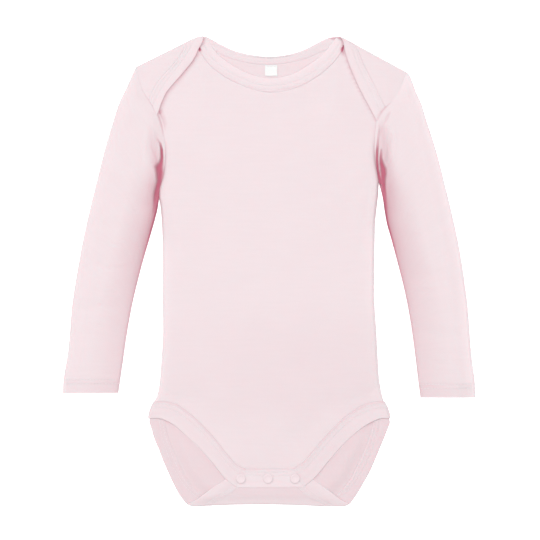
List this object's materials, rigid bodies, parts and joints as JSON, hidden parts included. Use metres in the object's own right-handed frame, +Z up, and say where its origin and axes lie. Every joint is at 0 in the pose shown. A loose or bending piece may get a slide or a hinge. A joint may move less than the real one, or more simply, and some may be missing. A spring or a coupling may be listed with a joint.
{
  "type": "baby bodysuit",
  "caption": "Long-sleeved baby bodysuit with lapped envelope shoulders, bound neck and leg openings and a snapped crotch, laid flat.",
  "frame": {"origin": "on the table, under the middle of the garment's outline", "axes": "+Y towards the neck, +Z up through the front, X across the sleeves"},
  "size_m": [0.3874, 0.4422, 0.0082],
  "materials": {
    "interlock": "matte",
    "binding": "matte",
    "snap_cap": "satin",
    "snap_stud": "satin",
    "label_tape": "satin"
  },
  "bodies": {
    "root": {"back_panel": "interlock", "front_panel": "interlock", "sleeve_left": "interlock", "sleeve_right": "interlock", "neck_binding_front": "binding", "neck_binding_back": "binding", "leg_binding_left": "binding", "leg_binding_right": "binding", "crotch_placket_front": "binding", "snap_cap_1": "snap_cap", "snap_cap_2": "snap_cap", "snap_cap_3": "snap_cap", "snap_stud_1": "snap_stud", "snap_stud_2": "snap_stud", "snap_stud_3": "snap_stud", "neck_label": "label_tape"}
  },
  "joints": []
}
